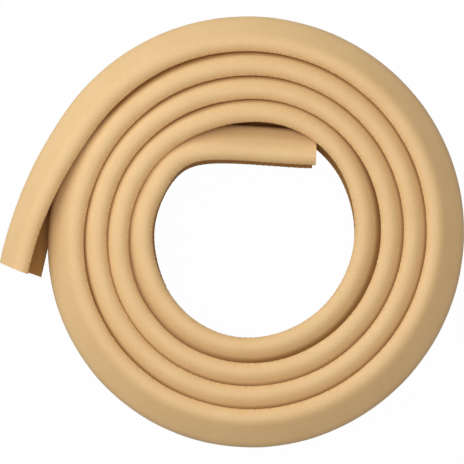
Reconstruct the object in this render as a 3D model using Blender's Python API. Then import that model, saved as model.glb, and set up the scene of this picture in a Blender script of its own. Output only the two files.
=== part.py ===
"""Foam edge protector: an L-shaped strip for the edge of a table or shelf, wound flat in nested turns.

Metres, +Z up. The strip lies on its side, as it is sold. Its outer corner points away from the middle
of the coil, both legs run back inwards at 45 degrees, and each turn sits in the channel of the next.
The inner end springs across the hole and its tip is tucked under the turn outside it. The outer end
springs clear of the coil, straightens and rolls a little on its lower leg.
"""

import math

import bmesh
import bpy
from mathutils import Matrix, Vector

# The strip's section
LEG_WIDTH = 0.0227  # from the sharp outer corner to a leg's end
LEG_THICKNESS = 0.0067
CORNER_RADIUS = 0.0075  # round on the outer corner
ROOT_RADIUS = 0.0020  # round in the channel between the legs
LEG_END_RADIUS = 0.0042  # soft edge between a leg's outer face and its end
FLAT_DEPTH = 0.00025  # how far the foam flattens where it lies on the ground

# The strip's length, along the line through the middle of its section
STRIP_LENGTH = 2.0
OUTER_END_BEND = 0.0065  # stretch over which the outer end leaves the coil's curve
OUTER_END_FREE = 0.0845  # stretch that springs open beyond it
OUTER_END_RADIUS = 0.145  # curve that the open stretch keeps

# The coil. Angles turn counterclockwise from +X, and the strip runs that way from its inner end.
HOLE_RADIUS = 0.0437  # to the legs' ends, where the inner end leaves the coil
TURN_GAP = 0.00075  # between the faces of two turns
OVAL_SLACK = 0.0006  # how much the coil's long axis stands out
OVAL_AXIS = math.radians(57)
STATIONS_PER_TURN = 54
OUTER_STATIONS = 10  # along the outer end

# The inner end, a smooth curve from the coil to the tip
INNER_JOINT = math.radians(158)
INNER_TIP = math.radians(54.3)
TIP_PRESS = 0.0005  # how far the tip is pressed outwards from the place where it would be nested
TIP_SWING = math.radians(37)  # how much the tip points outwards from the coil's own direction
BEND_AT_JOINT = 0.444  # pull of the curve's two ends, as shares of the distance between them
BEND_AT_TIP = 0.584

# The innermost turn hangs a little inside its nested place, from the joint to where the tip is tucked in
LOOSE_DEPTH = 0.0015
LOOSE_START = math.radians(168)
LOOSE_RISE = math.radians(39)
LOOSE_END = math.radians(418)
LOOSE_FALL = math.radians(50)

# How the strip rolls about its middle line, top outwards
INNER_TIP_ROLL = math.radians(-0.7)
OUTER_END_ROLL = math.radians(13)
TUCK_ROLL = math.radians(3)  # in the turn that the inner tip is tucked under
TUCK_LEFT = 0.45  # share of that roll left in each turn further out
TUCK_ANGLE = math.radians(409)
TUCK_SPREAD = math.radians(75)

# How much the cut faces lean out of square, outwards above
INNER_CUT_SLANT = math.radians(5)
OUTER_CUT_SLANT = math.radians(-4)

FOAM_COLOUR = (0.73, 0.48, 0.25, 1.0)
FOAM_ROUGHNESS = 0.85

TAU = 2 * math.pi
SLOPE = math.sqrt(0.5)  # cosine and sine of the 45 degrees at which the legs lie
TURN_PITCH = (LEG_THICKNESS + TURN_GAP) / SLOPE


def arc(centre, radius, start, end, steps):
    """Points of an arc, with both ends, from one angle in degrees to another."""
    angles = [math.radians(start + (end - start) * i / steps) for i in range(steps + 1)]
    return [(centre[0] + radius * math.cos(a), centre[1] + radius * math.sin(a)) for a in angles]


def section():
    """The strip's outline, counterclockwise, with its sharp outer corner at 0, 0 and its legs towards -X."""
    corner = arc((-CORNER_RADIUS / SLOPE, 0), CORNER_RADIUS, -45, 45, 6)
    end_centre = (-LEG_WIDTH * SLOPE, (LEG_WIDTH - 2 * LEG_END_RADIUS) * SLOPE)
    upper_end = arc(end_centre, LEG_END_RADIUS, 45, 135, 4)
    inner_edge = (-(LEG_WIDTH + LEG_THICKNESS) * SLOPE, (LEG_WIDTH - LEG_THICKNESS) * SLOPE)
    root = arc((-(LEG_THICKNESS + ROOT_RADIUS) / SLOPE, 0), ROOT_RADIUS, 45, -45, 2)
    flat = math.degrees(math.acos(1 - FLAT_DEPTH / LEG_END_RADIUS))
    lower_centre = (end_centre[0], -end_centre[1])
    lower_end = arc(lower_centre, LEG_END_RADIUS, -135, -90 - flat, 1)
    lower_end += arc(lower_centre, LEG_END_RADIUS, -90 + flat, -45, 1)
    return corner + upper_end + [inner_edge] + root + [(inner_edge[0], -inner_edge[1])] + lower_end


def middle(outline):
    """Distance of an outline's centroid from the sharp outer corner, along X."""
    area = moment = 0
    for (x0, y0), (x1, y1) in zip(outline, outline[1:] + outline[:1]):
        cross = x0 * y1 - x1 * y0
        area += cross
        moment += cross * (x0 + x1) / 3
    return moment / area


OUTLINE = section()
MIDDLE = middle(OUTLINE)
PROFILE = [(x - MIDDLE, y) for x, y in OUTLINE]
INNER_REACH = -min(x for x, y in PROFILE)  # from the middle line to the legs' inner edges


def rest_height(roll):
    """Height of the middle line when the section, rolled by this angle, lies on the ground."""
    return -min(y * math.cos(roll) - x * math.sin(roll) for x, y in PROFILE)


def ease(share):
    """Smooth step from 0 to 1."""
    share = min(max(share, 0), 1)
    return share * share * (3 - 2 * share)


def loose(angle):
    """How far the strip hangs inside its nested place."""
    return LOOSE_DEPTH * ease((angle - LOOSE_START) / LOOSE_RISE) * ease((LOOSE_END - angle) / LOOSE_FALL)


def nested_radius(angle):
    """Radius of the middle line where the turns sit in one another."""
    turns = (angle - INNER_JOINT) / TAU
    slack = OVAL_SLACK * math.cos(2 * (angle - OVAL_AXIS))
    return HOLE_RADIUS + INNER_REACH + TURN_PITCH * turns + slack - loose(angle)


def nested_point(angle):
    radius = nested_radius(angle)
    return Vector((radius * math.cos(angle), radius * math.sin(angle)))


def nested_direction(angle):
    step = 1e-4
    return (nested_point(angle + step) - nested_point(angle - step)).normalized()


def lengths(points):
    """Length of the line up to each of its points."""
    total = [0]
    for a, b in zip(points, points[1:]):
        total.append(total[-1] + (b - a).length)
    return total


def inner_curve():
    """Control points of the inner end's curve, from the joint to the tip."""
    joint = nested_point(INNER_JOINT)
    outwards = Vector((math.cos(INNER_TIP), math.sin(INNER_TIP)))
    tip = nested_point(INNER_TIP) + TIP_PRESS * outwards
    pointing = Matrix.Rotation(TIP_SWING, 2) @ -nested_direction(INNER_TIP)
    span = (joint - tip).length
    joint_pull = joint - BEND_AT_JOINT * span * nested_direction(INNER_JOINT)
    return joint, joint_pull, tip - BEND_AT_TIP * span * pointing, tip


def inner_end():
    """Middle line of the inner end, from the tip to the joint, at the angles of the coil's stations."""
    joint, joint_pull, tip_pull, tip = inner_curve()
    step = TAU / STATIONS_PER_TURN
    fine = 400
    points = []
    following = INNER_JOINT - step
    for i in range(1, fine):
        t = i / fine
        s = 1 - t
        point = s**3 * joint + 3 * s * s * t * joint_pull + 3 * s * t * t * tip_pull + t**3 * tip
        if math.atan2(point.y, point.x) <= following:
            points.append(point)
            following -= step
    return [tip] + points[::-1]


def coil(length):
    """Middle line of the nested turns, from the joint on, with a last point exactly at this length."""
    step = TAU / STATIONS_PER_TURN
    angle = INNER_JOINT
    points = [nested_point(angle)]
    left = length
    while True:
        following = nested_point(angle + step)
        reach = (following - points[-1]).length
        if left <= reach:
            break
        points.append(following)
        angle += step
        left -= reach
    angle += step * left / reach
    if left < reach / 3:
        points.pop()
    points.append(nested_point(angle))
    return points, angle


def outer_end(start, angle):
    """Middle line of the outer end, which straightens from the coil's curve."""
    direction = nested_direction(angle)
    heading = math.atan2(direction.y, direction.x)
    curve = 1 / nested_radius(angle)
    length = OUTER_END_BEND + OUTER_END_FREE
    fine = 200
    piece = length / fine
    point = start.copy()
    points = []
    for i in range(fine):
        share = (i + 0.5) * piece / OUTER_END_BEND
        heading += (curve + (1 / OUTER_END_RADIUS - curve) * ease(share)) * piece
        point = point + piece * Vector((math.cos(heading), math.sin(heading)))
        if (i + 1) % (fine // OUTER_STATIONS) == 0:
            points.append(point.copy())
    return points


def tuck(angle):
    """Roll of the turns that lie over the tucked inner tip."""
    turn = max(round((angle - TUCK_ANGLE) / TAU), 0)
    away = abs(angle - TUCK_ANGLE - turn * TAU) / TUCK_SPREAD
    return TUCK_ROLL * TUCK_LEFT**turn * ease(1 - away)


def middle_line():
    """The strip's stations: a point and a roll for each, from the inner tip to the outer end."""
    tip = inner_end()
    joint = nested_point(INNER_JOINT)
    inner_length = lengths(tip + [joint])[-1]
    outer_length = OUTER_END_BEND + OUTER_END_FREE
    turns, last = coil(STRIP_LENGTH - inner_length - outer_length)
    tail = outer_end(turns[-1], last)
    points = tip + turns + tail
    travelled = lengths(points)
    stations = []
    for i, (point, at) in enumerate(zip(points, travelled)):
        roll = INNER_TIP_ROLL * (1 - ease(at / inner_length))
        roll += tuck(INNER_JOINT + (i - len(tip)) * TAU / STATIONS_PER_TURN)
        from_end = travelled[-1] - at
        roll += OUTER_END_ROLL * ease((outer_length - from_end) / outer_length)
        stations.append((point, roll))
    return stations


def collection(name):
    made = bpy.data.collections.new(name)
    bpy.context.scene.collection.children.link(made)
    return made


def poly_curve(name, points, tilts, closed, home):
    """A curve object of straight pieces through the points."""
    data = bpy.data.curves.new(name, "CURVE")
    data.dimensions = "3D"
    spline = data.splines.new("POLY")
    spline.points.add(len(points) - 1)
    for knot, point, tilt in zip(spline.points, points, tilts):
        knot.co = (*point, 1)
        knot.tilt = tilt
    spline.use_cyclic_u = closed
    made = bpy.data.objects.new(name, data)
    home.objects.link(made)
    return made


def foam():
    material = bpy.data.materials.new("foam")
    material.use_nodes = True
    shader = material.node_tree.nodes["Principled BSDF"]
    shader.inputs["Base Color"].default_value = FOAM_COLOUR
    shader.inputs["Roughness"].default_value = FOAM_ROUGHNESS
    shader.inputs["Metallic"].default_value = 0
    return material


def swept_strip(stations, home, guides):
    """The strip as one closed mesh: its section swept along the middle line."""
    outline = [(x, y, 0) for x, y in PROFILE]
    profile = poly_curve("strip_section", outline, [0] * len(outline), True, guides)
    profile.hide_render = True
    profile.display_type = "WIRE"
    line = [(point.x, point.y, rest_height(roll)) for point, roll in stations]
    path = poly_curve("middle_line", line, [roll for point, roll in stations], False, guides)
    path.data.twist_mode = "Z_UP"
    path.data.bevel_mode = "OBJECT"
    path.data.bevel_object = profile
    path.data.use_fill_caps = True
    graph = bpy.context.evaluated_depsgraph_get()
    mesh = bpy.data.meshes.new_from_object(path.evaluated_get(graph))
    strip = bpy.data.objects.new("edge_strip", mesh)
    strip.matrix_world = path.matrix_world
    home.objects.link(strip)
    bpy.data.objects.remove(path)
    return strip


def slant_end(cells, end, direction, slant):
    """Slides the rim of the cut face at end along the strip, outwards above mid-height and inwards below."""
    caps = [face for face in cells.faces if len(face.verts) == 3]
    rim = {vert for face in caps for vert in face.verts if (vert.co - end).length < 2 * LEG_WIDTH}
    for vert in rim:
        vert.co += direction * math.tan(slant) * (vert.co.z - end.z)


def finish_strip(strip, stations):
    """Welds the end faces on, cuts both ends out of square, rests the strip on the ground and centres it."""
    cells = bmesh.new()
    cells.from_mesh(strip.data)
    bmesh.ops.remove_doubles(cells, verts=cells.verts, dist=1e-6)
    for end, beside, slant in ((0, 1, INNER_CUT_SLANT), (-1, -2, OUTER_CUT_SLANT)):
        point, roll = stations[end]
        direction = (point - stations[beside][0]).normalized()
        slant_end(cells, Vector((*point, rest_height(roll))), direction.to_3d(), slant)
    for vert in cells.verts:
        vert.co.z = max(vert.co.z, 0)
    low = Vector([min(vert.co[i] for vert in cells.verts) for i in range(3)])
    high = Vector([max(vert.co[i] for vert in cells.verts) for i in range(3)])
    place = Vector(((low.x + high.x) / 2, (low.y + high.y) / 2, low.z))
    bmesh.ops.translate(cells, vec=-place, verts=cells.verts)
    bmesh.ops.recalc_face_normals(cells, faces=cells.faces)
    cells.to_mesh(strip.data)
    cells.free()
    strip.data.shade_smooth()
    strip.data.set_sharp_from_angle(angle=math.radians(40))
    return place


for leftover in list(bpy.data.objects):
    bpy.data.objects.remove(leftover, do_unlink=True)
STATIONS = middle_line()
strip_home = collection("edge_protector")
guide_home = collection("guides")
edge_strip = swept_strip(STATIONS, strip_home, guide_home)
PLACE = finish_strip(edge_strip, STATIONS)
edge_strip.data.materials.append(foam())
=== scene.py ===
"""Looks of a coiled foam edge protector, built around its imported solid."""

import math

import bmesh
import bpy
from mathutils import Matrix, Vector


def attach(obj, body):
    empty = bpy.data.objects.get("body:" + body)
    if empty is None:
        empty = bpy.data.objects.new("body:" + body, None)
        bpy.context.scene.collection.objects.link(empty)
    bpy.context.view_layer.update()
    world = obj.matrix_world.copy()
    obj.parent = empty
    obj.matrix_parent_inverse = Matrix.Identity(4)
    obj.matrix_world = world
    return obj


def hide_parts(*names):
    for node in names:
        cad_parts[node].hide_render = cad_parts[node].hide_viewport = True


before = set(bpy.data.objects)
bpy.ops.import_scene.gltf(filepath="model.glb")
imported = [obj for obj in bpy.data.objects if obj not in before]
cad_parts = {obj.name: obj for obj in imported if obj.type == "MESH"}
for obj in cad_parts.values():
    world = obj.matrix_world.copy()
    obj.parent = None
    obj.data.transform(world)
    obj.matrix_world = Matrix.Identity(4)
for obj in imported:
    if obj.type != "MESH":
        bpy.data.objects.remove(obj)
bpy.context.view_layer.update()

# The strip. One length of soft closed-cell rubber foam, extruded with an L-shaped section and a smooth
# skin, cut across at both ends and wound flat by hand. Each turn sits in the channel of the next, the
# skin puckers along the inside of the bend, and both ends spring free of the coil.
LEG_WIDTH = 0.0233  # from the sharp outer corner to a leg's end
LEG_THICKNESS = 0.0067
CORNER_RADIUS = 0.0083
ROOT_RADIUS = 0.0020
LEG_END_RADIUS = 0.0056  # between a leg's outer face and its end
INNER_EDGE_RADIUS = 0.0009  # between a leg's end and its inner face
OUTER_FACE_POINTS = (0.0100, 0.0118)  # in from the sharp corner, where an outer face is divided
SLOPE = math.sqrt(0.5)  # cosine and sine of the 45 degrees at which the legs lie
TAU = 2 * math.pi

STRIP_LENGTH = 2.0
HOLE_RADIUS = 0.0437  # to the legs' ends, where the inner end leaves the coil
TURN_GAP = 0.00075
TURN_PITCH = (LEG_THICKNESS + TURN_GAP) / SLOPE
OVAL_SLACK = 0.0006  # added to the coil's radius along its longer axis
OVAL_AXIS = math.radians(57)
COIL_CENTRE = Vector((0.00789, -0.00263))

INNER_JOINT = math.radians(158)  # where the inner end leaves the coil
INNER_TIP = math.radians(54.3)
TIP_PRESS = 0.0005  # how far the tip is pressed outwards into the next turn's channel
TIP_SWING = math.radians(37)
BEND_AT_JOINT = 0.444  # pull of the curve's two ends, as shares of the distance between them
BEND_AT_TIP = 0.584
OUTER_END_BEND = 0.0141  # length in which the outer end springs open
OUTER_END_FREE = 0.0664  # length of the rest of it
OUTER_END_RADIUS = 0.1834  # of its bend once it has sprung open

LOOSE_DEPTH = 0.0015  # how far the innermost turn hangs inside its nested place
LOOSE_START = math.radians(168)
LOOSE_RISE = math.radians(39)
LOOSE_END = math.radians(418)
LOOSE_FALL = math.radians(50)
INNER_TIP_ROLL = math.radians(-0.7)  # rolls turn the strip about its line, top outwards
OUTER_END_ROLL = math.radians(11)
TUCK_ROLL = math.radians(3)  # in the turn that the inner tip is tucked under
TUCK_LEFT = 0.45  # share of that roll left in each turn further out
TUCK_ANGLE = math.radians(409)
TUCK_SPREAD = math.radians(75)

# Where the hand-wound turns lie off an even spiral: the angle, counted on from turn to turn, the spread
# on either side of it, the shift outwards and the roll, with angles in degrees and shifts in metres.
UNEVEN = (
    (95, 55, 0.0005, 0),
    (150, 38, 0.0005, -2.5),
    (262, 45, 0.0004, 0),
    (465, 42, -0.0011, 0),
    (512, 38, 0.0005, -1.2),
    (825, 48, -0.0007, 0),
    (925, 62, -0.0007, 0),
    (1240, 120, -0.0005, 0),
    (1560, 75, 0.0008, 0),
)


def rounded(corner, towards, radius, start, end, steps):
    """Points of an arc of this radius, its centre this many radii from the corner, angles in degrees."""
    centre = (corner[0] + towards[0] * radius, corner[1] + towards[1] * radius)
    angles = [math.radians(start + (end - start) * i / steps) for i in range(steps + 1)]
    return [(centre[0] + radius * math.cos(a), centre[1] + radius * math.sin(a)) for a in angles]


def section_outline():
    """The strip's outline, counterclockwise from the lower end of the rounded corner, which points to +X."""
    tip = (-LEG_WIDTH * SLOPE, LEG_WIDTH * SLOPE)
    inner = (-(LEG_WIDTH + LEG_THICKNESS) * SLOPE, (LEG_WIDTH - LEG_THICKNESS) * SLOPE)
    upper = rounded(tip, (0, -1 / SLOPE), LEG_END_RADIUS, 45, 135, 9)
    upper += rounded(inner, (1 / SLOPE, 0), INNER_EDGE_RADIUS, 135, 225, 3)
    corner = rounded((0, 0), (-1 / SLOPE, 0), CORNER_RADIUS, -45, 45, 8)
    root = rounded((-LEG_THICKNESS / SLOPE, 0), (-1 / SLOPE, 0), ROOT_RADIUS, 45, -45, 3)
    outer_face = [(-inwards, inwards) for inwards in OUTER_FACE_POINTS]
    lower = [(x, -y) for x, y in upper[::-1]]
    return corner + outer_face + upper + root + lower + [(x, -y) for x, y in outer_face[::-1]]


def centroid_x(outline):
    area = moment = 0
    for (x0, y0), (x1, y1) in zip(outline, outline[1:] + outline[:1]):
        cross = x0 * y1 - x1 * y0
        area += cross
        moment += cross * (x0 + x1) / 3
    return moment / area


OUTLINE = section_outline()
MIDDLE = centroid_x(OUTLINE)
SECTION = [(x - MIDDLE, y) for x, y in OUTLINE]
INNER_REACH = (LEG_WIDTH + LEG_THICKNESS) * SLOPE + MIDDLE  # from the middle line to the sharp leg ends
FLAT_DEPTH = 0.00025  # how far the foam flattens where it lies on the ground


def rest_height(roll):
    """Height of the middle line when the section, rolled by this angle, lies on the ground."""
    return -min(y * math.cos(roll) - x * math.sin(roll) for x, y in SECTION) - FLAT_DEPTH


def ease(share):
    share = min(max(share, 0), 1)
    return share * share * (3 - 2 * share)


def uneven(angle):
    """Shift outwards and roll at this angle."""
    shift = roll = 0
    for middle, spread, outwards, rolled in UNEVEN:
        share = ease(1 - abs(math.degrees(angle) - middle) / spread)
        shift += share * outwards
        roll += share * math.radians(rolled)
    return shift, roll


def even_point(angle):
    """Where the middle line of an even coil lies at this angle, counted on from turn to turn."""
    slack = OVAL_SLACK * math.cos(2 * (angle - OVAL_AXIS))
    loose = LOOSE_DEPTH * ease((angle - LOOSE_START) / LOOSE_RISE) * ease((LOOSE_END - angle) / LOOSE_FALL)
    radius = HOLE_RADIUS + INNER_REACH + TURN_PITCH * (angle - INNER_JOINT) / TAU + slack - loose
    return Vector((radius * math.cos(angle), radius * math.sin(angle)))


def even_direction(angle, beside=1e-4):
    return (even_point(angle + beside) - even_point(angle - beside)).normalized()


def coil_point(angle):
    point = even_point(angle)
    return point + uneven(angle)[0] * point.normalized()


def tuck(angle):
    """Roll of the turns that lie over the tucked inner tip."""
    turn = max(round((angle - TUCK_ANGLE) / TAU), 0)
    away = abs(angle - TUCK_ANGLE - turn * TAU) / TUCK_SPREAD
    return TUCK_ROLL * TUCK_LEFT**turn * ease(1 - away)


def inner_end(steps=90):
    """The inner end from its tip to the coil, a curve with a pull at each end, and its length."""
    joint = even_point(INNER_JOINT)
    outwards = Vector((math.cos(INNER_TIP), math.sin(INNER_TIP)))
    tip = even_point(INNER_TIP) + TIP_PRESS * outwards
    pointing = Matrix.Rotation(TIP_SWING, 2) @ -even_direction(INNER_TIP)
    span = (joint - tip).length
    joint_pull = joint - BEND_AT_JOINT * span * even_direction(INNER_JOINT)
    tip_pull = tip - BEND_AT_TIP * span * pointing
    points = []
    for i in range(steps):
        t = i / steps
        s = 1 - t
        points.append(s**3 * tip + 3 * s * s * t * tip_pull + 3 * s * t * t * joint_pull + t**3 * joint)
    travelled = [0]
    for a, b in zip(points, points[1:] + [joint]):
        travelled.append(travelled[-1] + (b - a).length)
    knots = []
    for point, at in zip(points, travelled):
        shift, roll = uneven(math.atan2(point.y, point.x))
        roll += INNER_TIP_ROLL * (1 - ease(at / travelled[-1]))
        knots.append((point + shift * point.normalized(), roll))
    return knots, travelled[-1]


def wound_strip(step=math.radians(1), pieces=60):
    """The middle line from the inner tip to the outer end, as points with a roll each."""
    knots, inner_length = inner_end()
    angle = INNER_JOINT
    left = STRIP_LENGTH - inner_length - OUTER_END_BEND - OUTER_END_FREE
    while left > 0:
        knots.append((coil_point(angle), tuck(angle) + uneven(angle)[1]))
        left -= (coil_point(angle + step) - coil_point(angle)).length
        angle += step
    point = coil_point(angle)
    direction = point - coil_point(angle - step)
    heading = math.atan2(direction.y, direction.x)
    curve = 1 / point.length
    outer_length = OUTER_END_BEND + OUTER_END_FREE + left
    piece = outer_length / pieces
    for i in range(pieces + 1):
        knots.append((point, OUTER_END_ROLL * ease(i / pieces)))
        eased = ease((i + 0.5) * piece / OUTER_END_BEND)
        heading += (curve + (1 / OUTER_END_RADIUS - curve) * eased) * piece
        point = point + piece * Vector((math.cos(heading), math.sin(heading)))
    return [(COIL_CENTRE + point, roll) for point, roll in knots]


def line_object(name, points, tilts, closed):
    data = bpy.data.curves.new(name, "CURVE")
    data.dimensions = "3D"
    data.twist_mode = "Z_UP"
    spline = data.splines.new("POLY")
    spline.points.add(len(points) - 1)
    for knot, point, tilt in zip(spline.points, points, tilts):
        knot.co = (*point, 1)
        knot.tilt = tilt
    spline.use_cyclic_u = closed
    made = bpy.data.objects.new(name, data)
    bpy.context.scene.collection.objects.link(made)
    return made


class Wire:
    """One output of a node. Sums and products on it add Math nodes, and add places any other node."""

    def __init__(self, tree, socket=None):
        self.tree = tree
        self.socket = socket

    def add(self, kind, settings={}, values={}, out=0):
        node = self.tree.nodes.new(kind)
        for name, value in settings.items():
            if name == "captured":
                node.capture_items.new(value, "Value")
            else:
                setattr(node, name, value)
        for name, value in values.items():
            if isinstance(value, Wire):
                self.tree.links.new(value.socket, node.inputs[name])
            else:
                node.inputs[name].default_value = value
        return Wire(self.tree, node.outputs[out] if node.outputs else None)

    def also(self, out):
        """Another output of the same node."""
        return Wire(self.tree, self.socket.node.outputs[out])

    def maths(self, operation, first, second=0.0, clamp=False):
        settings = {"operation": operation, "use_clamp": clamp}
        return self.add("ShaderNodeMath", settings, {0: first, 1: second})

    def __add__(self, other):
        return self.maths("ADD", self, other)

    __radd__ = __add__

    def __sub__(self, other):
        return self.maths("SUBTRACT", self, other)

    def __rsub__(self, other):
        return self.maths("SUBTRACT", other, self)

    def __mul__(self, other):
        return self.maths("MULTIPLY", self, other)

    __rmul__ = __mul__

    def __truediv__(self, other):
        return self.maths("DIVIDE", self, other)

    def __pow__(self, other):
        return self.maths("POWER", self, other)

    def __abs__(self):
        return self.maths("ABSOLUTE", self)

    def clamped(self):
        return self.maths("ADD", self, 0.0, clamp=True)

    def ripple(self, detail):
        """Noise that changes with this number alone."""
        values = {"W": self, "Scale": 1.0, "Detail": detail}
        return self.add("ShaderNodeTexNoise", {"noise_dimensions": "1D"}, values)

    def blend(self, first, second):
        """The colour at this share of the way from the first to the second."""
        values = {0: self, 6: first, 7: second}
        return self.add("ShaderNodeMix", {"data_type": "RGBA"}, values, out=2)


LEG_FOLD = min((spot for spot in SECTION if spot[1] > 0), key=lambda spot: spot[0])  # a leg's inner edge
PUCKER_DRIFT_RATE = 90  # a metre, at which the puckers drift from their pitch
PUCKER_DRIFT = 2.2  # how many puckers they drift by
PUCKER_STRENGTH_RATE = 35  # a metre, at which they come and go
PUCKER_STRENGTH_START = 7
PUCKER_STRENGTH = 1.6
DENT_RATE = 55.0  # a metre
STRIP_FACE_CORNERS = 4  # the faces that close the cut ends have more

# Where the next turn covers a leg's outer face, the colour is darkened with painted shade.
COVERED_WIDTH = LEG_WIDTH - LEG_THICKNESS - TURN_GAP  # of a leg, under the next turn
COVERED_START = 0.13  # metres along the strip, from where it has another turn outside it
COVERED_END = 1.37
COVERED_START_FADE = 15  # a metre
COVERED_END_FADE = 50
COVERED_BORDER = 0.0006
COVERED_DEPTH_FADE = 3  # over a leg's thickness, so that it is the outer face alone


def strip_tree():
    """Sweeps the section along the wound line, then dents the skin and puckers the legs' inner edges."""
    tree = bpy.data.node_groups.new("foam_strip", "GeometryNodeTree")
    sockets = {}
    for name, kind in (
        ("Line", "Geometry"),
        ("Section", "Object"),
        ("Spacing", "Float"),
        ("Dent Depth", "Float"),
        ("Pucker Depth", "Float"),
        ("Pucker Pitch", "Float"),
        ("Pucker Reach", "Float"),
        ("Skin", "Material"),
    ):
        made = tree.interface.new_socket(name, in_out="INPUT", socket_type="NodeSocket" + kind)
        sockets[name] = made.identifier
    tree.interface.new_socket("Strip", in_out="OUTPUT", socket_type="NodeSocketGeometry")
    start = Wire(tree)
    line = start.add("NodeGroupInput")
    spaced = start.add(
        "GeometryNodeResampleCurve", {"mode": "LENGTH"}, {"Curve": line, "Length": line.also("Spacing")}
    )
    travel = start.add("GeometryNodeSplineParameter", out="Length")
    path = start.add("GeometryNodeCaptureAttribute", {"captured": "FLOAT"}, {0: spaced, 1: travel})
    shape = start.add(
        "GeometryNodeObjectInfo", {}, {"Object": line.also("Section"), "As Instance": False}, out="Geometry"
    )
    place = start.add("GeometryNodeInputPosition")
    profile = start.add("GeometryNodeCaptureAttribute", {"captured": "VECTOR"}, {0: shape, 1: place})
    swept = start.add(
        "GeometryNodeCurveToMesh", {}, {"Curve": path, "Profile Curve": profile, "Fill Caps": True}
    )
    along = path.also(1)
    across = start.add("ShaderNodeSeparateXYZ", {}, {0: profile.also(1)})
    from_fold = ((across - LEG_FOLD[0]) ** 2 + (abs(across.also("Y")) - LEG_FOLD[1]) ** 2) ** 0.5
    near = (1 - from_fold / line.also("Pucker Reach")).clamped()
    fold = near * near * (3 - 2 * near)
    drift = (along * PUCKER_DRIFT_RATE).ripple(1.0) * PUCKER_DRIFT
    strength = (along * PUCKER_STRENGTH_RATE + PUCKER_STRENGTH_START).ripple(0.0) * PUCKER_STRENGTH
    wave = start.maths("SINE", (along / line.also("Pucker Pitch") + drift) * TAU)
    pucker = fold * (0.5 + 0.5 * wave) * strength * line.also("Pucker Depth")
    dents = start.add("ShaderNodeTexNoise", {}, {"Scale": DENT_RATE, "Detail": 2.0, "Roughness": 0.5})
    push = (dents - 0.5) * line.also("Dent Depth") - pucker
    outward = start.add("GeometryNodeInputNormal")
    offset = start.add("ShaderNodeVectorMath", {"operation": "SCALE"}, {0: outward, "Scale": push})
    strip = start.add("GeometryNodeSetPosition", {}, {"Geometry": swept, "Offset": offset})
    depth = (-MIDDLE - across - abs(across.also("Y"))) * (SLOPE / LEG_THICKNESS)
    from_corner = (abs(across.also("Y")) - across - MIDDLE) * SLOPE
    under_turn = ((COVERED_WIDTH - from_corner) / COVERED_BORDER).clamped()
    outer_face = (1 - depth * COVERED_DEPTH_FADE).clamped()
    before_end = ((COVERED_END - along) * COVERED_END_FADE).clamped()
    after_start = ((along - COVERED_START) * COVERED_START_FADE).clamped()
    covered = under_turn * outer_face * (before_end * after_start)
    corners = start.add("GeometryNodeInputMeshFaceNeighbors", out="Vertex Count")
    cut = start.maths("GREATER_THAN", corners, STRIP_FACE_CORNERS)
    for name, domain, value in (
        ("along", "POINT", along),
        ("fold", "POINT", fold),
        ("depth", "POINT", depth),
        ("covered", "POINT", covered),
        ("cut", "FACE", cut),
    ):
        strip = start.add(
            "GeometryNodeStoreNamedAttribute",
            {"data_type": "FLOAT", "domain": domain},
            {"Geometry": strip, "Name": name, "Value": value},
        )
    smooth = start.add("GeometryNodeSetShadeSmooth", {}, {0: strip, "Shade Smooth": True})
    real = start.add("GeometryNodeRealizeInstances", {}, {0: smooth})
    coated = start.add("GeometryNodeSetMaterial", {}, {0: real, "Material": line.also("Skin")})
    start.add("NodeGroupOutput", {}, {0: coated})
    return tree, sockets


TAN = (0.82, 0.53, 0.243, 1)  # the skin
MOTTLE_AND_CREASE_SHADE_TAN = (0.68, 0.39, 0.145, 1)  # the skin's random mottling, and painted shade in its creases
PAINTED_SHADE_TAN = (0.47, 0.225, 0.06, 1)  # painted shade in the channel and where the next turn covers the outer face
CUT_TAN = (0.70, 0.46, 0.25, 1)  # open cells on the cut ends
CLOUD_RATE = 60.0  # a metre, as are the rates below
GRAIN_RATE = 900.0
PORE_RATE = 1500.0
CELL_RATE = 2600.0
CREASE_RATE = 620
CREASE_SHARPNESS = 9
CLOUD_TONE = 0.5  # how much deeper the tan is for each
GRAIN_TONE = 0.55
# painted shade: the creases are darkened in colour
CREASE_SHADE_TONE = 0.8
SKIN_TONE = 0.10
CHANNEL_START = 0.93  # share of a leg's thickness at which the channel's face, darkened with painted shade, starts
CHANNEL_SHARPNESS = 16
GRAIN_HEIGHT = 0.35  # heights as shares of RELIEF
PORE_HEIGHT = 0.5
CREASE_HEIGHT = -1.6
CELL_HEIGHT = 3
RELIEF = 0.00012
RELIEF_STRENGTH = 0.35
SKIN_ROUGHNESS = 0.58
CLOUD_ROUGHNESS = 0.1
CUT_ROUGHNESS = 0.4  # added to the skin's, as is the channel's
CHANNEL_ROUGHNESS = 0.3
SKIN_GLOSS = 0.6


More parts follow.
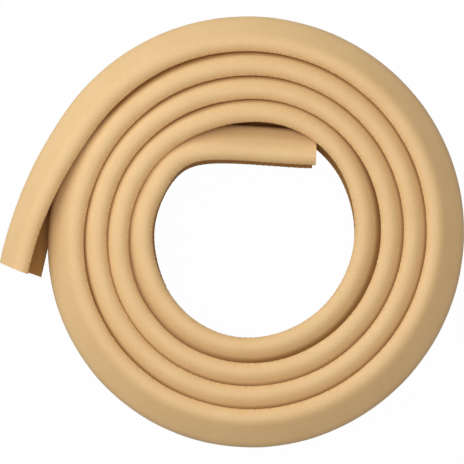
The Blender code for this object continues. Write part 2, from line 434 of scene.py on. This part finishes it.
def foam_skin():
    """Smooth skin with faint mottling, pores and creases, painted shade in the creases, the channel and
    under the next turn, and open cells on the cut ends.
    """
    material = bpy.data.materials.new("foam_skin")
    material.use_nodes = True
    material.node_tree.nodes.clear()
    start = Wire(material.node_tree)
    place = start.add("ShaderNodeTexCoord", out="Object")
    along, fold, depth, covered, cut = [
        start.add("ShaderNodeAttribute", {"attribute_name": name}, out="Fac")
        for name in ("along", "fold", "depth", "covered", "cut")
    ]
    cloud = start.add("ShaderNodeTexNoise", {}, {"Vector": place, "Scale": CLOUD_RATE, "Detail": 3.0})
    grain = start.add("ShaderNodeTexNoise", {}, {"Vector": place, "Scale": GRAIN_RATE, "Detail": 2.0})
    pores = start.add("ShaderNodeTexVoronoi", {}, {"Vector": place, "Scale": PORE_RATE}, out="Distance")
    cells = start.add("ShaderNodeTexVoronoi", {}, {"Vector": place, "Scale": CELL_RATE}, out="Distance")
    crease = (along * CREASE_RATE).ripple(2.0)
    creased = fold * (1 - (abs(crease - 0.5) * CREASE_SHARPNESS).clamped())
    patches = (cloud - 0.5) * CLOUD_TONE + (grain - 0.5) * GRAIN_TONE
    # random mottling, plus painted shade along the creases
    mottle_and_crease_shade = (patches + creased * CREASE_SHADE_TONE + SKIN_TONE).clamped()
    # painted shade: the channel's face and the covered outer face are darkened in colour
    inside = (((depth - CHANNEL_START) * CHANNEL_SHARPNESS).clamped() + covered).clamped()
    skin = mottle_and_crease_shade.blend(TAN, MOTTLE_AND_CREASE_SHADE_TAN)
    shade_lined = inside.blend(skin, PAINTED_SHADE_TAN)
    colour = cut.blend(shade_lined, CUT_TAN)
    height = grain * GRAIN_HEIGHT + pores * PORE_HEIGHT + creased * CREASE_HEIGHT
    relief = height * (1 - cut) + cells * cut * CELL_HEIGHT
    bump = start.add(
        "ShaderNodeBump",
        {},
        {"Strength": RELIEF_STRENGTH, "Distance": RELIEF, "Height": relief},
        out="Normal",
    )
    cloudy = SKIN_ROUGHNESS + (cloud - 0.5) * CLOUD_ROUGHNESS
    shader = start.add(
        "ShaderNodeBsdfPrincipled",
        {},
        {
            "Base Color": colour,
            "Roughness": cloudy + cut * CUT_ROUGHNESS + inside * CHANNEL_ROUGHNESS,
            "Normal": bump,
            "Specular IOR Level": SKIN_GLOSS,
        },
    )
    start.add("ShaderNodeOutputMaterial", {}, {"Surface": shader})
    return material


def swept_strip():
    """The wound strip as a plain mesh object named foam_strip."""
    knots = wound_strip()
    line = line_object(
        "middle_line",
        [(point.x, point.y, rest_height(roll)) for point, roll in knots],
        [roll for point, roll in knots],
        False,
    )
    section = line_object("strip_section", [(x, y, 0) for x, y in SECTION], [0] * len(SECTION), True)
    tree, sockets = strip_tree()
    sweep = line.modifiers.new("sweep", "NODES")
    sweep.node_group = tree
    for name, value in (
        ("Section", section),
        ("Spacing", 0.00093),
        ("Dent Depth", 0.00035),
        ("Pucker Depth", 0.0002),
        ("Pucker Pitch", 0.0024),
        ("Pucker Reach", 0.0026),
        ("Skin", foam_skin()),
    ):
        sweep[sockets[name]] = value
    graph = bpy.context.evaluated_depsgraph_get()
    mesh = bpy.data.meshes.new_from_object(line.evaluated_get(graph))
    bpy.data.objects.remove(line)
    bpy.data.objects.remove(section)
    made = bpy.data.objects.new("foam_strip", mesh)
    bpy.context.scene.collection.objects.link(made)
    return made, knots


# Both cuts lean a little: the slant is seen from the side, and the skew from above.
INNER_CUT_SLANT = math.radians(5)
INNER_CUT_SKEW = 0
OUTER_CUT_SLANT = math.radians(4)
OUTER_CUT_SKEW = math.radians(-9)
CUT_REACH = 0.02  # how far from a cut its lean stretches the strip


def trim_ends(strip, knots):
    """Leans both cut ends as the knife left them, and lays the underside flat on the ground."""
    cells = bmesh.new()
    cells.from_mesh(strip.data)
    caps = [face for face in cells.faces if len(face.verts) > STRIP_FACE_CORNERS]
    along = cells.verts.layers.float["along"]
    length = max(vert[along] for vert in cells.verts)
    for end, beside, at, slant, skew in (
        (0, 1, 0, INNER_CUT_SLANT, INNER_CUT_SKEW),
        (-1, -2, length, OUTER_CUT_SLANT, OUTER_CUT_SKEW),
    ):
        point, roll = knots[end]
        direction = (point - knots[beside][0]).normalized().to_3d()
        middle = Vector((*point, rest_height(roll)))
        side = Vector((direction.y, -direction.x, 0))
        for vert in cells.verts:
            share = 1 - abs(vert[along] - at) / CUT_REACH
            if share > 0:
                offset = vert.co - middle
                lean = math.tan(slant) * offset.z + math.tan(skew) * side.dot(offset)
                vert.co += share * lean * direction
    for vert in cells.verts:
        vert.co.z = max(vert.co.z, 0)
    bmesh.ops.recalc_face_normals(cells, faces=cells.faces)
    for face in caps:
        for edge in face.edges:
            edge.smooth = False
    cells.to_mesh(strip.data)
    cells.free()


foam_strip, wound = swept_strip()
trim_ends(foam_strip, wound)
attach(foam_strip, "root")
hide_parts("edge_strip")

# The floor. A plain pale sheet that the coil lies on. The camera sees it nearly white, and it keeps the
# coil's shadow.
FLOOR_SIZE = 6.0
FLOOR_COLOUR = (0.6, 0.6, 0.6, 1)
FLOOR_WHITE = 0.985  # share of plain white in what the camera sees of it
PLAIN_WHITE = (1, 1, 1, 1)


def pale_floor():
    material = bpy.data.materials.new("pale_floor")
    material.use_nodes = True
    material.node_tree.nodes.clear()
    start = Wire(material.node_tree)
    plain = start.add("ShaderNodeBsdfDiffuse", {}, {"Color": FLOOR_COLOUR})
    white = start.add("ShaderNodeEmission", {}, {"Color": PLAIN_WHITE, "Strength": 1.0})
    seen = start.add("ShaderNodeLightPath", out="Is Camera Ray")
    mixed = start.add("ShaderNodeMixShader", {}, {0: seen * FLOOR_WHITE, 1: plain, 2: white})
    start.add("ShaderNodeOutputMaterial", {}, {"Surface": mixed})
    return material


sheet = bmesh.new()
bmesh.ops.create_grid(sheet, x_segments=1, y_segments=1, size=FLOOR_SIZE / 2)
floor_mesh = bpy.data.meshes.new("floor")
sheet.to_mesh(floor_mesh)
sheet.free()
floor_mesh.materials.append(pale_floor())
floor = bpy.data.objects.new("floor", floor_mesh)
bpy.context.scene.collection.objects.link(floor)

# The light. A large soft lamp overhead and another high on the left fill a dim pale room. A long low
# soft box on the upper left, a little cooler, lays a broad gloss on the coil's outer face.
WHITE_LIGHT = (1.0, 1.0, 1.0)
COOL_LIGHT = (0.79, 0.92, 1.0)
ROOM_COLOUR = (0.96, 0.98, 1.0, 1)
ROOM_LIGHT = 0.25


def soft_lamp(name, width, height, power, colour, azimuth, elevation, distance):
    """A lamp of this width and height in metres, aimed at the coil from this side, angles in degrees."""
    data = bpy.data.lights.new(name, "AREA")
    data.shape = "RECTANGLE"
    data.size = width
    data.size_y = height
    data.energy = power
    data.color = colour
    lamp = bpy.data.objects.new(name, data)
    around = math.radians(azimuth)
    above = math.radians(elevation)
    level = math.cos(above)
    away = Vector((math.cos(around) * level, math.sin(around) * level, math.sin(above)))
    lamp.location = away * distance
    lamp.rotation_euler = away.to_track_quat("Z", "Y").to_euler()
    bpy.context.scene.collection.objects.link(lamp)


soft_lamp("overhead", 1.0, 1.0, 12.6, WHITE_LIGHT, azimuth=0, elevation=88, distance=1.7)
soft_lamp("high_left", 0.9, 0.9, 7.3, WHITE_LIGHT, azimuth=160, elevation=50, distance=1.6)
soft_lamp("soft_box", 1.1, 0.4, 4.9, COOL_LIGHT, azimuth=134, elevation=22, distance=1.2)

world = bpy.data.worlds.new("room")
world.use_nodes = True
world.node_tree.nodes.clear()
start = Wire(world.node_tree)
room = start.add("ShaderNodeBackground", {}, {"Color": ROOM_COLOUR, "Strength": ROOM_LIGHT})
backdrop = start.add("ShaderNodeBackground", {}, {"Color": PLAIN_WHITE, "Strength": 1.0})
rays = start.add("ShaderNodeLightPath", out="Is Camera Ray")
around = start.add("ShaderNodeMixShader", {}, {0: rays, 1: room, 2: backdrop})
start.add("ShaderNodeOutputWorld", {}, {"Surface": around})
bpy.context.scene.world = world

# The camera. It stands high above the coil and looks down from a few degrees off its axis, so that a
# little of the lower leg shows round the hole and beside the outer end.
PIXELS = 464
METRES_A_PIXEL = 0.0004587  # at the coil's mid height
SENSOR = 36.0
FAR = 100
AIM = Vector((0.00014, -0.00071, 0.025))
STAND = Vector((0.073, -0.157, 2.475))  # from the point aimed at to the camera

camera_data = bpy.data.cameras.new("camera")
camera_data.sensor_width = SENSOR
camera_data.lens = SENSOR * STAND.length / (PIXELS * METRES_A_PIXEL)
camera_data.clip_end = FAR
camera = bpy.data.objects.new("camera", camera_data)
back = STAND.normalized()
right = Vector((0, 1, 0)).cross(back).normalized()
turned = Matrix((right, back.cross(right), back)).transposed().to_4x4()
camera.matrix_world = Matrix.Translation(AIM + STAND) @ turned
bpy.context.scene.collection.objects.link(camera)
bpy.context.scene.camera = camera
bpy.context.scene.view_settings.view_transform = "Standard"
